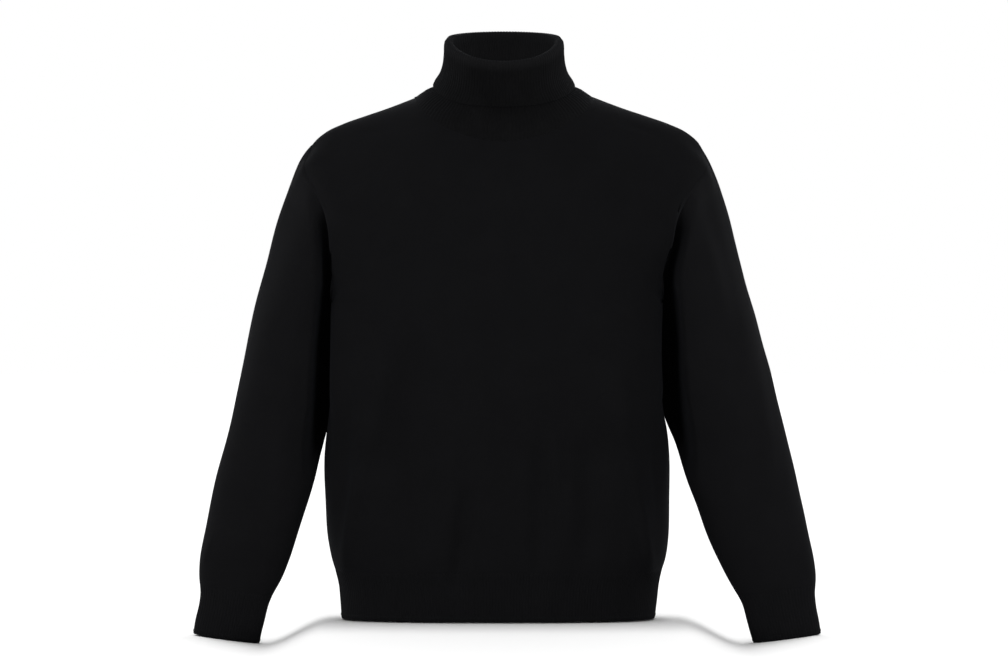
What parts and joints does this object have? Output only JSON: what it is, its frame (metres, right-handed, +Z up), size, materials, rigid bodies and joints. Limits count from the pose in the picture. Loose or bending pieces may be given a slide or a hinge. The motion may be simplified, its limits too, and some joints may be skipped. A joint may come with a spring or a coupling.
{
  "type": "turtleneck sweater",
  "caption": "Fine-knit turtleneck sweater filled out as worn, with a folded ribbed collar, long set-in sleeves and ribbed cuffs and hem.",
  "frame": {"origin": "midway between the two points where the shoulder seams meet the collar, where the wearer's shoulders hold the sweater", "axes": "+Z up, the wearer faces -Y, and +X points towards the wearer's left arm"},
  "size_m": [0.8102, 0.2322, 0.7958],
  "materials": {
    "jersey": "black plain-knit wool blend, matt, with a faint nap",
    "rib": "black ribbed knit at the hem and the cuffs, matt",
    "collar_rib": "black ribbed knit of the collar, matt"
  },
  "bodies": {
    "root": {"front": "jersey", "back": "jersey", "hem_rib_front": "rib", "hem_rib_back": "rib", "sleeve_right": "jersey", "sleeve_left": "jersey", "cuff_right": "rib", "cuff_left": "rib", "collar": "collar_rib"}
  },
  "joints": []
}
